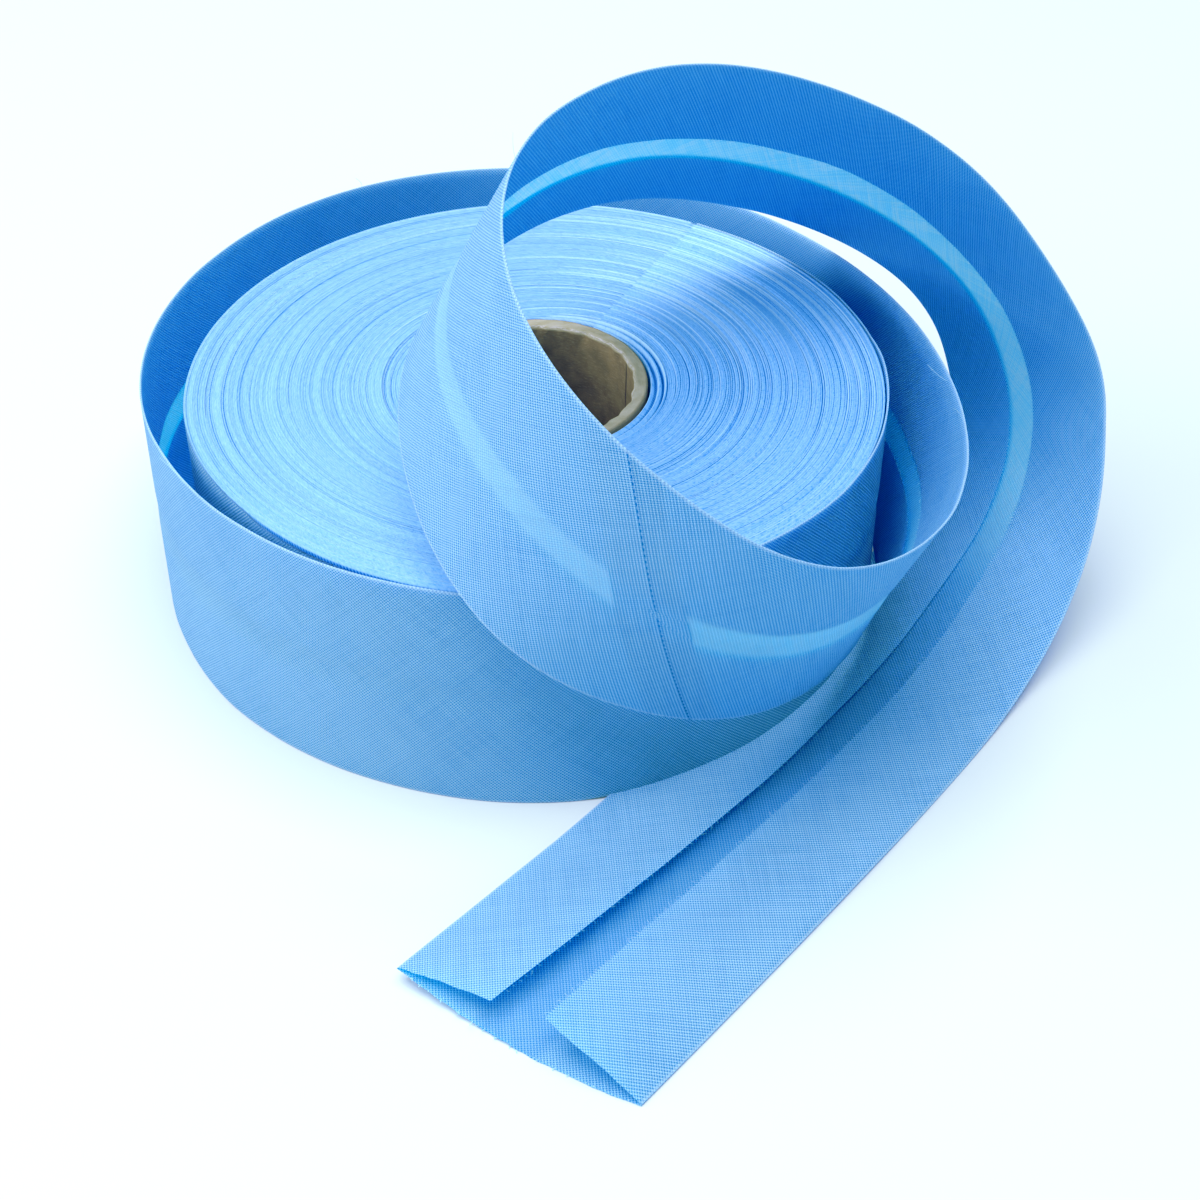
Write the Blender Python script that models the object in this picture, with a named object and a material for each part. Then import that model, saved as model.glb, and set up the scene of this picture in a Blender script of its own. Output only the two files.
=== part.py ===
"""A roll of single-fold bias binding on its card core, with the loose end looped over the roll.

Metres, +Z up. The roll lies flat on the table at z = 0. The binding is a bias-cut cotton strip with
both edges folded in to the middle: a base layer and two flaps, a little apart. The loose end stands
off the roll on its left, back and right, curls round at the right, crosses the front and the top of
the roll, turns over, loops over the back and the right, and comes down to lie flat on the table,
partly under the roll, with its flaps up and its cut end open.
"""

import math

import bmesh
import bpy
import numpy as np
from mathutils import Vector

MM = 0.001

# The binding.
TAPE_WIDTH = 40.0 * MM
LAYER = 1.0 * MM
BETWEEN_LAYERS = 0.4 * MM
TAPE_THICK = 2 * LAYER + BETWEEN_LAYERS
FLAP_A = 21.0 * MM            # the wider folded edge, on the upper side of the standing turn
FLAP_B = 13.5 * MM
TAPE_STEP = 6.0 * MM
CUT_SLANT = 4.5 * MM          # how much further the cut end reaches at edge B than at edge A
SLANT_RUN = 36.0 * MM

# The roll and its core.
CORE_OUTER_R = 18.5 * MM
CORE_WALL = 2.3 * MM
CORE_HEIGHT = 39.4 * MM
GAP = 0.3 * MM
ROLL_WIDE = 115.2 * MM
ROLL_DEEP = 112.8 * MM
ROLL_HEIGHT = 40.0 * MM
LAST_TURN_STEP = 1.6 * MM     # the spiral's step where the last turn comes away
LAST_TURN_BEARING = math.radians(-101.8)
ROLL_SIDES = 96
CORE_SIDES = 64
EDGE_ROUND = 0.5 * MM

# The tape passes under the front right of the roll, in a shallow hollow of the turns.
UNDERPASS_HEIGHT = TAPE_THICK + 0.7 * MM
UNDERPASS_MARGIN = 2.0 * MM
UNDERPASS_START = 600.0 * MM

# How the turns stand at the top of the roll.
TURN_BANDS = (
    # band,                     out to,   proud,   wave   (mm from the axis, mm, mm)
    ("loose turns at the core",  22.0,    -0.8,    0.2),
    ("inner turns",              30.0,    -0.2,    0.2),
    ("low turns",                33.0,    -0.5,    0.2),
    ("middle turns",             41.0,     0.1,    0.3),
    ("proud turns",              44.5,     0.4,    0.2),
    ("dropped turns",            46.5,    -0.6,    0.3),
    ("outer turns",              53.0,     0.0,    0.2),
    ("last turns",               56.0,     0.2,    0.1),
)

# The middle of the loose end, from where it leaves the roll to its cut end. Places are from the
# roll's axis at the table, in millimetres. Tip is how far the tape leans from standing on edge B,
# in degrees: 0 stands upright, 90 lies flat with its flaps up.
ROUTE = (
    # place,                right,    back,     up,    tip
    ("on the roll",         -12.5,   -56.3,   20.0,    0),
    ("leaves the roll",     -31.0,   -48.8,   20.0,   -1),
    ("front left",          -46.0,   -37.5,   20.0,   -2),
    ("left side",           -64.5,    -5.0,   20.0,   -1),
    ("back left",           -61.0,    32.5,   20.0,   -1),
    ("back",                -39.0,    60.0,   20.0,   -1),
    ("middle of the back",   -6.0,    69.5,   20.0,    0),
    ("back right",           28.0,    60.0,   20.0,    2),
    ("right back",           51.5,    37.5,   20.2,    4),
    ("right side",           61.5,    11.0,   21.8,    9),
    ("curl begins",          62.5,   -14.0,   24.0,   15),
    ("curl",                 56.0,   -38.0,   27.5,   22),
    ("curl ends",            42.5,   -57.0,   33.5,   24),
    ("front of the roll",    24.0,   -67.5,   44.0,   16),
    ("over the rim",          5.0,   -65.5,   58.0,   -7),
    ("above the top",        -8.0,   -50.0,   70.5,  -19),
    ("turning over",         -9.5,   -28.5,   79.0,  -27),
    ("loop begins",           1.5,    -7.0,   81.0,  -31),
    ("loop",                 18.5,    10.0,   78.0,  -35),
    ("loop middle",          39.5,    21.5,   69.5,  -38),
    ("loop right",           59.5,    27.0,   57.5,  -39),
    ("loop bends down",      71.0,    27.0,   48.0,  -36),
    ("falls",                81.0,    23.0,   36.0,  -17),
    ("falls steeply",        85.5,    13.5,   21.0,   31),
    ("lands",                80.5,     0.5,   10.0,   60),
    ("turns flat",           69.0,   -16.0,    3.5,   82),
    ("lies flat",            55.5,   -34.5,    1.2,   90),
    ("tail",                 39.0,   -55.5,    1.2,   90),
    ("tail further on",      19.5,   -79.0,    1.2,   90),
    ("cut end",              -0.5,  -102.5,    1.2,   90),
)

# How the two folded flaps open towards the cut end.
FLAPS = (
    # place,        from the cut end, lift of A, lift of B  (mm, degrees, degrees)
    ("pressed flat",        90.0,        0.0,       0.0),
    ("starts to lift",      60.0,        2.0,       2.0),
    ("lifting",             30.0,        8.0,       7.0),
    ("open at the cut",      0.0,       20.0,      16.0),
)


def clear_scene():
    for item in list(bpy.data.objects):
        bpy.data.objects.remove(item, do_unlink=True)


def material(name, colour, roughness):
    made = bpy.data.materials.new(name)
    made.use_nodes = True
    shader = made.node_tree.nodes["Principled BSDF"]
    shader.inputs["Base Color"].default_value = (*colour, 1.0)
    shader.inputs["Roughness"].default_value = roughness
    shader.inputs["Metallic"].default_value = 0.0
    made.diffuse_color = (*colour, 1.0)
    return made


def finish_object(name, mesh_data, surface):
    """Turns a bmesh into a named object whose faces point out and are shaded smooth."""
    bmesh.ops.recalc_face_normals(mesh_data, faces=mesh_data.faces)
    mesh = bpy.data.meshes.new(name)
    mesh_data.to_mesh(mesh)
    mesh_data.free()
    mesh.materials.append(surface)
    mesh.shade_smooth()
    mesh.set_sharp_from_angle(angle=math.radians(35))
    made = bpy.data.objects.new(name, mesh)
    bpy.context.scene.collection.objects.link(made)
    return made


def smooth_through(knots, values, at):
    """A natural cubic spline through the rows of values, which sit at the knots."""
    count = len(knots)
    spans = np.diff(knots)
    system = np.zeros((count, count))
    right_side = np.zeros((count, values.shape[1]))
    system[0, 0] = 1.0
    system[-1, -1] = 1.0
    for i in range(1, count - 1):
        system[i, i - 1:i + 2] = spans[i - 1], 2 * (spans[i - 1] + spans[i]), spans[i]
        after = (values[i + 1] - values[i]) / spans[i]
        before = (values[i] - values[i - 1]) / spans[i - 1]
        right_side[i] = 6 * (after - before)
    bends = np.linalg.solve(system, right_side)
    j = np.clip(np.searchsorted(knots, at, side="right") - 1, 0, count - 2)
    span = spans[j][:, None]
    a = (knots[j + 1] - at)[:, None] / span
    b = 1.0 - a
    curve = ((a ** 3 - a) * bends[j] + (b ** 3 - b) * bends[j + 1]) * span ** 2 / 6
    return a * values[j] + b * values[j + 1] + curve


def tape_frames(step):
    """Evenly spaced frames along the loose end: run, middle, along, across (A to B), inward."""
    rows = np.array([row[1:] for row in ROUTE])
    rows[:, :3] *= MM
    chords = np.linalg.norm(np.diff(rows[:, :3], axis=0), axis=1)
    knots = np.concatenate([[0.0], np.cumsum(chords)])
    dense = smooth_through(knots, rows, np.linspace(0.0, knots[-1], 3000))
    lengths = np.linalg.norm(np.diff(dense[:, :3], axis=0), axis=1)
    run = np.concatenate([[0.0], np.cumsum(lengths)])
    at = np.linspace(0.0, run[-1], round(run[-1] / step) + 1)
    even = np.stack([np.interp(at, run, dense[:, k]) for k in range(4)], axis=-1)
    middle = even[:, :3]
    along = np.gradient(middle, axis=0)
    along /= np.linalg.norm(along, axis=1)[:, None]
    side = np.cross(along, (0.0, 0.0, 1.0))
    side /= np.linalg.norm(side, axis=1)[:, None]
    upright = np.cross(side, along)
    tip = np.radians(even[:, 3])[:, None]
    across = side * np.sin(tip) - upright * np.cos(tip)
    inward = np.cross(across, along)
    return at, middle, along, across, inward


def flap_lifts(to_cut):
    """The lift of flap A and of flap B, in radians, at a distance from the cut end."""
    reach = [row[1] * MM for row in reversed(FLAPS)]
    lift_a = [row[2] for row in reversed(FLAPS)]
    lift_b = [row[3] for row in reversed(FLAPS)]
    a = np.interp(to_cut, reach, lift_a)
    b = np.interp(to_cut, reach, lift_b)
    return math.radians(a), math.radians(b)


def flap_side(width, lift):
    """One side of the folded section, from the base's outer face round the fold to its inner face.

    Points are (distance towards this side's fold from the middle, distance inward)."""
    half = TAPE_WIDTH / 2
    r = TAPE_THICK / 2
    fold = half - r
    low = BETWEEN_LAYERS / 2
    points = [(fold, -r)]
    for angle in (-45, 0, 45):
        turn = math.radians(angle)
        points.append((fold + r * math.cos(turn), r * math.sin(turn)))

    def on_flap(distance, height):
        x = fold - distance * math.cos(lift) - height * math.sin(lift)
        return x, distance * math.sin(lift) + height * math.cos(lift)

    flat = width - r
    points += [on_flap(0.0, r), on_flap(flat / 2, r), on_flap(flat, r)]
    points += [on_flap(flat, low), on_flap(flat / 2, low)]
    points += [(half - LAYER, low), (half - LAYER, -low)]
    return points


def folded_section(to_cut):
    """The closed outline of the folded tape, as (towards edge B, inward) points."""
    lift_a, lift_b = flap_lifts(to_cut)
    side_b = flap_side(FLAP_B, lift_b)
    side_a = flap_side(FLAP_A, lift_a)
    outer_middle = [(0.0, -TAPE_THICK / 2)]
    inner_middle = [(0.0, -BETWEEN_LAYERS / 2)]
    mirrored = [(-u, v) for u, v in reversed(side_a)]
    return outer_middle + side_b + inner_middle + mirrored


def loft(sections):
    """A closed body through equal rings of points, with its two ends capped."""
    built = bmesh.new()
    rings = [[built.verts.new(point) for point in ring] for ring in sections]
    count = len(rings[0])
    for first, second in zip(rings, rings[1:]):
        for k in range(count):
            nxt = (k + 1) % count
            built.faces.new((first[k], first[nxt], second[nxt], second[k]))
    built.faces.new(rings[0])
    built.faces.new(rings[-1])
    return built


def loose_tail(surface):
    """The loose end: one folded strip, lifted where needed so that it rests on the table."""
    at, middle, along, across, inward = tape_frames(TAPE_STEP)
    sections = []
    for i, run in enumerate(at):
        to_cut = at[-1] - run
        slant = CUT_SLANT * max(0.0, 1.0 - to_cut / SLANT_RUN) ** 2
        ring = []
        for u, v in folded_section(to_cut):
            shift = slant * u / TAPE_WIDTH
            point = middle[i] + across[i] * u + inward[i] * v + along[i] * shift
            ring.append(Vector(point))
        lowest = min(point.z for point in ring)
        if lowest < 0.0:
            ring = [point - Vector((0.0, 0.0, lowest)) for point in ring]
        sections.append(ring)
    body = loft(sections)
    bmesh.ops.triangulate(body, faces=body.faces)
    return finish_object("loose_tail", body, surface)


def underpass_cutter():
    """The hollow under the roll's front right, where the tape lies on the table."""
    at, middle, along, across, inward = tape_frames(TAPE_STEP * 2)
    half = TAPE_WIDTH / 2 + UNDERPASS_MARGIN
    sections = []
    for i, run in enumerate(at):
        if run < UNDERPASS_START:
            continue
        ground = Vector((middle[i][0], middle[i][1], 0.0))
        level = Vector((across[i][0], across[i][1], 0.0)).normalized()
        ring = []
        for u, z in ((-half, -UNDERPASS_HEIGHT), (half, -UNDERPASS_HEIGHT),
                     (half, UNDERPASS_HEIGHT), (-half, UNDERPASS_HEIGHT)):
            ring.append(ground + level * u + Vector((0.0, 0.0, z)))
        sections.append(ring)
    body = loft(sections)
    bmesh.ops.triangulate(body, faces=body.faces)
    cutter = finish_object("underpass_cutter", body, material("cutter", (0.8, 0.2, 0.2), 0.5))
    cutter.hide_render = True
    cutter.display_type = "WIRE"
    return cutter


def roll_edge(bearing):
    """Distance from the axis to the roll's outer face at a bearing: a slightly oval spiral."""
    a = ROLL_WIDE / 2
    b = ROLL_DEEP / 2
    oval = a * b / math.hypot(b * math.cos(bearing), a * math.sin(bearing))
    turned = ((bearing - LAST_TURN_BEARING) % math.tau) / math.tau
    return oval + LAST_TURN_STEP * (0.5 - turned)


def roll_ring(bearings, reach, height):
    return [Vector((reach(t) * math.cos(t), reach(t) * math.sin(t), height(t))) for t in bearings]


def wound_roll(surface, cutter):
    """All the wound turns as one solid: an oval spiral ring with an uneven top."""
    step = math.tau / ROLL_SIDES
    start = LAST_TURN_BEARING + 1e-6
    bearings = [start + i * step for i in range(ROLL_SIDES)] + [start + math.tau - 2e-4]
    bore = CORE_OUTER_R + GAP
    rings = [roll_ring(bearings, lambda t: bore, lambda t: 0.0)]
    inner = bore
    for k, (_, out_to, proud, wave) in enumerate(TURN_BANDS):
        middle = ROLL_HEIGHT + proud * MM

        def top(t, k=k, middle=middle, wave=wave):
            return middle + wave * MM * math.sin((2 + k % 3) * t + 1.3 * k)

        outer = out_to * MM
        share = (outer - inner) * 0.2
        rings.append(roll_ring(bearings, lambda t, r=inner + share * (k > 0): r, top))
        if k == len(TURN_BANDS) - 1:
            rings.append(roll_ring(bearings, lambda t: roll_edge(t) - EDGE_ROUND, top))
            rings.append(roll_ring(bearings, roll_edge, lambda t, top=top: top(t) - EDGE_ROUND))
        else:
            rings.append(roll_ring(bearings, lambda t, r=outer - share * 0.2: r, top))
        inner = outer
    rings.append(roll_ring(bearings, roll_edge, lambda t: 0.0))
    built = bmesh.new()
    made = [[built.verts.new(point) for point in ring] for ring in rings]
    count = len(bearings)
    for first, second in zip(made, made[1:] + made[:1]):
        for k in range(count):
            nxt = (k + 1) % count
            built.faces.new((first[k], first[nxt], second[nxt], second[k]))
    bmesh.ops.triangulate(built, faces=built.faces)
    roll = finish_object("wound_roll", built, surface)
    cut = roll.modifiers.new("underpass", "BOOLEAN")
    cut.operation = "DIFFERENCE"
    cut.solver = "EXACT"
    cut.object = cutter
    return roll


def core_tube(surface):
    """The card tube that the binding is wound on: a ring with softened rims."""
    inner = CORE_OUTER_R - CORE_WALL
    soft = CORE_WALL * 0.2
    profile = (
        (inner, 0.0), (CORE_OUTER_R, 0.0), (CORE_OUTER_R, CORE_HEIGHT - soft),
        (CORE_OUTER_R - soft, CORE_HEIGHT), (inner + soft, CORE_HEIGHT), (inner, CORE_HEIGHT - soft),
    )
    built = bmesh.new()
    rings = []
    for i in range(CORE_SIDES):
        t = math.tau * i / CORE_SIDES
        rings.append([built.verts.new((r * math.cos(t), r * math.sin(t), z)) for r, z in profile])
    count = len(profile)
    for i, ring in enumerate(rings):
        following = rings[(i + 1) % CORE_SIDES]
        for k in range(count):
            nxt = (k + 1) % count
            built.faces.new((ring[k], following[k], following[nxt], ring[nxt]))
    return finish_object("core_tube", built, surface)


def stand_on_middle(pieces):
    """Moves the pieces so that the origin is under the middle of the whole object's box."""
    corners = np.array([vertex.co[:] for piece in pieces for vertex in piece.data.vertices])
    middle = (corners.min(axis=0) + corners.max(axis=0)) / 2
    base = bpy.data.objects.new("roll_axis", None)
    bpy.context.scene.collection.objects.link(base)
    base.location = (-middle[0], -middle[1], 0.0)
    return base


def main():
    clear_scene()
    blue = material("blue cotton", (0.16, 0.43, 0.80), 0.85)
    card = material("grey card", (0.36, 0.32, 0.27), 0.9)
    tail = loose_tail(blue)
    cutter = underpass_cutter()
    roll = wound_roll(blue, cutter)
    core = core_tube(card)
    base = stand_on_middle((tail, roll, core))
    for piece in (tail, roll, core, cutter):
        piece.parent = base


main()
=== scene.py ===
import math

import bpy
import numpy as np
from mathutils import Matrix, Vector


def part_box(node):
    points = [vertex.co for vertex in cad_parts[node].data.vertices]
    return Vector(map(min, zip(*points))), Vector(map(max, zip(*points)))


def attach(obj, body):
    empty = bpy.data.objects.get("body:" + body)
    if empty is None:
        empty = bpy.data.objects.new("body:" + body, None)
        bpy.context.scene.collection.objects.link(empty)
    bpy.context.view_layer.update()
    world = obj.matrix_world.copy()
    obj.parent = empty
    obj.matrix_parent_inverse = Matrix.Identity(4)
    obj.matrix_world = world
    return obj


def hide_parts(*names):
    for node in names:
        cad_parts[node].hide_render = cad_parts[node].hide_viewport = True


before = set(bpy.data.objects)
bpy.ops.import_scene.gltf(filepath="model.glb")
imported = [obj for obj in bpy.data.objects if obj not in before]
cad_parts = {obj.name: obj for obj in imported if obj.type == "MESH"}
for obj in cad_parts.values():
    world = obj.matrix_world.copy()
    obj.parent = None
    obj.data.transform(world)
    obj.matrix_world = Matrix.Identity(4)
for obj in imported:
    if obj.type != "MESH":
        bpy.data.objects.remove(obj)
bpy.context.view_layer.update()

MM = 0.001
CORE_LOW, CORE_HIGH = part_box("core_tube")
AXIS = np.array([(CORE_LOW.x + CORE_HIGH.x) / 2, (CORE_LOW.y + CORE_HIGH.y) / 2, 0.0])

# The binding: one bias strip, both edges folded in to the middle.
TAPE_WIDTH = 40.0 * MM
PLY = 0.34 * MM               # from the middle of the base to the middle of a folded edge
TAPE_STEP = 1.25 * MM
CUT_SLANT = 4.5 * MM
SLANT_RUN = 36.0 * MM
CUT_BULGE = 2.0 * MM          # the cut end reaches further in the middle
FLAP_SHORT = 2.4 * MM         # and the folded edges' raw corners stay behind it

# The roll.
CORE_OUTER_R = 18.5 * MM
CORE_WALL = 2.3 * MM
CORE_HEIGHT = 39.4 * MM
CARD_PLY_AT = 6.2             # where the inner ply's edge runs down the bore, in mm round it
ROLL_WIDE = 115.2 * MM
ROLL_DEEP = 112.8 * MM
ROLL_HEIGHT = 39.9 * MM
TURNS = 102
WRAP_STARTS = 60.0            # bearing where the last turn goes on as the loose end, in degrees
WRAP_STEP = 12.0
WRAP_PROUD = 1.2 * MM         # the route runs this far outside the roll's own face
WRAP_SETTLE = 1.15
LOOSE_TURNS = 3               # at the core, spread this far on the right
LOOSE_SPREAD = 1.9 * MM
LEAN_AT = -100.0              # the outer turns lean in at the top round this bearing
LEAN_WIDE = 75.0
TURN_STATIONS = 300           # the wound turns' mesh: stations in a turn, rows across a turn
TURN_ROWS = 3

# The loose end's middle, as the frame has it. Places are from the roll's axis at the table, in
# millimetres; tip is the lean from standing on edge B, in degrees; settle is how far the thin
# cloth lies off that middle towards its folded side, in millimetres.
ROUTE = (
    # place,                right,    back,     up,    tip,  settle
    ("on the roll",         -12.5,   -56.3,   20.0, -4.3,    1.1),
    ("leaves the roll",     -31.0,   -48.8,   20.0, -4.0,    0.1),
    ("front left",          -46.0,   -37.5,   20.0, -3.5,   -0.4),
    ("left side",           -64.5,    -5.0,   20.0, -0.8,    0.1),
    ("back left",           -61.0,    32.5,   20.0,   -1,    0.0),
    ("back",                -39.0,    60.0,   20.0,   -1,    0.0),
    ("middle of the back",   -6.0,    69.5,   20.0,    0,    0.0),
    ("back right",           28.0,    60.0,   20.0,    2,    0.0),
    ("right back",           51.5,    37.5,   20.2,    4,    0.0),
    ("right side",           61.5,    11.0,   21.8,    9,    0.0),
    ("curl begins",          62.5,   -14.0,   24.0,   15,    0.0),
    ("curl",                 56.0,   -38.0,   27.5,   22,    0.0),
    ("curl ends",            42.5,   -57.0,   33.5,   24,    0.0),
    ("front of the roll",    24.0,   -67.5,   44.0,   16,    0.0),
    ("over the rim",          5.0,   -65.5,   58.0,   -7,    0.0),
    ("above the top",        -8.0,   -50.0,   70.5,  -19,    0.0),
    ("turning over",         -9.5,   -28.5,   79.0,  -27,    0.0),
    ("loop begins",           1.5,    -7.0,   81.0,  -31,    0.0),
    ("loop",                 18.5,    10.0,   78.0,  -35,    0.0),
    ("loop middle",          39.5,    21.5,   69.5,  -38,    0.0),
    ("loop right",           59.5,    27.0,   57.5,  -39,    0.0),
    ("loop bends down",      71.0,    27.0,   48.0,  -36,    0.0),
    ("falls",                81.0,    23.0,   36.0,  -17,    0.0),
    ("falls steeply",        85.5,    13.5,   21.0,   31,    0.0),
    ("lands",                80.5,     0.5,   10.0,   60,   -0.3),
    ("turns flat",           69.0,   -16.0,    3.5,   82,   -0.7),
    ("lies flat",            55.5,   -34.5,    1.2,   90,   -0.9),
    ("tail",                 39.0,   -55.5,    1.2,   90,   -0.9),
    ("tail further on",      19.5,   -79.0,    1.2,   90,   -0.9),
    ("cut end",              -0.5,  -102.5,    1.2,   90,   -0.9),
)

# How the folded edges open towards the cut end.
FLAPS = (
    # place,        from the cut end, lift of A, lift of B, base rises at B  (mm, degrees, mm)
    ("pressed flat",       120.0,        0.0,       0.0,       0.0),
    ("starts to lift",      90.0,        0.5,       3.5,       0.0),
    ("lifting",             60.0,        1.5,       6.5,       0.0),
    ("lifting more",        30.0,        8.0,      10.0,       0.5),
    ("open at the cut",      0.0,       21.0,      13.5,       2.4),
)

# The folding isn't even: how wide the two folded edges are along the strip.
FOLDS = (
    # place,        from the cut end, edge A, edge B  (mm)
    ("cut end",              0.0,       17.3,     15.4),
    ("tail",                25.0,       17.6,     16.8),
    ("flat tail",           60.0,       17.4,     18.2),
    ("turns flat",         100.0,       17.0,     17.8),
    ("falls",              160.0,       18.0,     15.6),
    ("loop right",         210.0,       18.2,     14.6),
    ("loop",               250.0,       20.0,     14.2),
    ("loop begins",        280.0,       19.6,     13.4),
    ("turning over",       312.0,       20.4,     15.0),
    ("above the top",      335.0,       17.7,     17.4),
    ("over the rim",       350.0,       17.4,     18.0),
    ("curl ends",          390.0,       16.6,     17.2),
    ("curl",               440.0,       17.2,     17.0),
    ("on the roll",       1200.0,       17.4,     17.2),
)

# How far the opening between the folded edges lets light through, and how much painted glow it
# gets. On the tail it gets painted shade instead.
SHEER = (
    # place,        from the cut end, share  (mm)
    ("flat tail",          118.0,      0.0),
    ("lands",              135.0,      0.7),
    ("falls",              160.0,      1.0),
    ("loop begins",        290.0,      0.85),
    ("over the rim",       345.0,      0.5),
    ("curl begins",        390.0,      0.6),
    ("curl",               440.0,      0.3),
    ("left side",          650.0,      0.35),
    ("leaves the roll",    712.0,      0.0),
)

# How the turns stand at the top of the roll.
TURN_BANDS = (
    # band,                     out to,   proud,  groove   (mm from the axis, mm, mm)
    ("loose turns at the core",  21.5,    -0.9,    1.6),
    ("inner turns",              30.0,    -0.2,    0.3),
    ("low turns",                33.0,    -0.4,    0.4),
    ("middle turns",             41.0,     0.0,    0.3),
    ("proud turns",              44.5,     0.3,    0.4),
    ("dropped turns",            46.5,    -0.3,    0.6),
    ("outer turns",              53.0,     0.0,    0.5),
    ("last turns",               58.5,     0.1,    0.7),
)

# The cross-threads of the cloth run at 45 degrees to the strip.
THREAD_ONE = 0.43             # mm from thread to thread
THREAD_TWO = 0.37

# The joining seam crosses the strip on the bias at the front of the roll.
SEAM_FROM_CUT = 363.3 * MM
SEAM_BEFORE = 4.0 * MM        # the two allowances, pressed open behind it
SEAM_AFTER = 5.5 * MM
STITCH = 1.05                 # mm

# The cut end's loose threads, and how steeply the base rises towards edge B there.
CUT_THREADS = 30
RISE_POWER = 1.6

# What is stored on the strip for its opening: mm inside it, counted from this value, as 0 is
# what a mesh without the attribute gives.
RAW_EDGE_AT = 10.0
ON_A_FLAP = -9.0 * MM

# Threads that stand out of the strip's long edges.
STRAY_THREADS = (
    # where,            from the cut end, towards B, inward, out, up, bend, length  (mm)
    ("curl",                440.0,   -19.8,   0.2,   0.5,   0.6,   0.9,   5.0),
    ("curl low",            452.0,   -19.5,   0.3,   0.9,   0.2,  -0.8,   3.6),
    ("turning over",        296.0,   -20.0,   0.0,  -0.7,   0.8,   0.6,   3.0),
    ("front left",          706.0,   -19.9,   0.0,  -0.4,   0.7,   1.2,   5.5),
    ("back",                596.0,   -19.9,   0.0,   0.3,   0.8,  -0.5,   3.0),
)

# The card tube's section, from the outside over the rim and down the bore.
CARD_SECTION = (
    # reach in the wall, height below the rim, unevenness, torn  (share, mm, mm, mm)
    (1.00, 20.0, 0.00, 0.0),
    (1.00,  0.5, 0.05, 0.0),
    (0.93,  0.1, 0.10, 0.0),
    (0.80,  0.0, 0.12, 0.0),
    (0.66,  0.1, 0.12, 0.0),
    (0.55,  0.0, 0.14, 0.0),
    (0.40,  0.1, 0.12, 0.0),
    (0.28,  0.0, 0.15, 0.2),
    (0.16,  0.1, 0.12, 0.5),
    (0.06,  0.3, 0.10, 0.7),
    (0.00,  0.9, 0.05, 0.4),
    (0.00,  2.5, 0.00, 0.0),
    (0.00, 10.0, 0.00, 0.0),
    (0.00, 20.0, 0.00, 0.0),
    (0.00, 30.0, 0.00, 0.0),
    (0.00, 39.0, 0.00, 0.0),
    (0.10, 39.4, 0.00, 0.0),
    (0.90, 39.4, 0.00, 0.0),
    (1.00, 39.0, 0.00, 0.0),
)

# The stage.
FLOOR_REACH = 4.0             # m
ROOM_COLOUR = (0.60, 0.87, 1.0)
ROOM_STRENGTH = 0.42
LAMPS = (
    # lamp,           from (m, from the axis),  aimed at,             size, watts
    ("top_softbox",    (-0.02, -0.05, 1.40),      (0.00, 0.00, 0.03),   1.3,  27.0),
    ("left_card",      (-1.10, -0.25, 0.60),      (0.00, 0.00, 0.04),   1.0,  12.0),
)
CAMERA_FROM_AXIS = (0.01056, -0.27203, 0.22860)
CAMERA_LOOKS_DOWN = 41.09     # degrees
CAMERA_LENS = 60.0            # mm

# The picture is developed with less red and more blue in the darks, as a saturated blue is seen.
# Each curve runs from 0 to 1 through these pairs of before and after.
CHANNEL_CURVES = (
    ("red",   ((0.03, 0.004), (0.06, 0.022), (0.12, 0.092), (0.20, 0.205), (0.35, 0.38))),
    ("green", ((0.05, 0.022), (0.12, 0.108), (0.20, 0.210), (0.30, 0.320))),
    ("blue",  ((0.18, 0.165), (0.34, 0.360), (0.47, 0.570), (0.56, 0.660), (0.72, 0.780),
               (0.85, 0.910))),
)

# ---------------------------------------------------------------- colours and light

BLUE = (0.405, 0.775, 1.000)
BLUE_LIGHT = (0.460, 0.840, 1.000)
BLUE_HOLE_SHADE_AND_SLUBS = (0.008, 0.130, 0.460)    # painted shade between the threads and on the tail's sunken base; real slubs where the cloth is uneven
BLUE_FOLD_HIGHLIGHT = (0.620, 0.920, 1.000)     # painted highlight along a fold
BLUE_DEEP = (0.004, 0.100, 0.400)     # the seam's stitches, and painted shade in the open gaps between turns
# Painted light coming through where only the single base layer lies.
BLUE_SINGLE_GLOW = (0.550, 0.930, 1.000)
BLUE_THROUGH = (0.012, 0.480, 0.960)  # light that has come through a layer
SHEER_BLUE = (0.340, 0.730, 1.000)    # the same through the opening
TURN_BLUE = (0.200, 0.475, 0.930)
TURN_LIGHT = (0.262, 0.545, 0.960)
TURN_DOTS = (0.040, 0.250, 0.700)
# Painted highlight along the ridges beside open gaps.
TURN_RIDGE_HIGHLIGHT = (0.620, 0.950, 1.000)
SHEEN_BLUE = (0.600, 0.900, 1.000)

CARD_WALL = (0.215, 0.170, 0.108)
CARD_WALL_LIGHT = (0.275, 0.222, 0.142)
CARD_RIM = (0.300, 0.285, 0.205)
CARD_RIM_LIGHT = (0.400, 0.380, 0.290)
CARD_OUTSIDE = (0.240, 0.205, 0.150)
CARD_TORN = (0.600, 0.580, 0.500)
CARD_FIBRE = (0.460, 0.420, 0.340)
CARD_PLY = (0.050, 0.045, 0.040)

FLOOR_PALE = (0.590, 0.672, 0.705)
FLOOR_PALER = (0.600, 0.680, 0.712)

CLOTH_THROUGH = 0.36          # the share of light that goes through a layer
SINGLE_THROUGH = 0.48         # the same where no folded edge lies behind it
TURNS_THROUGH = 0.05


# ---------------------------------------------------------------- materials

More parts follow.
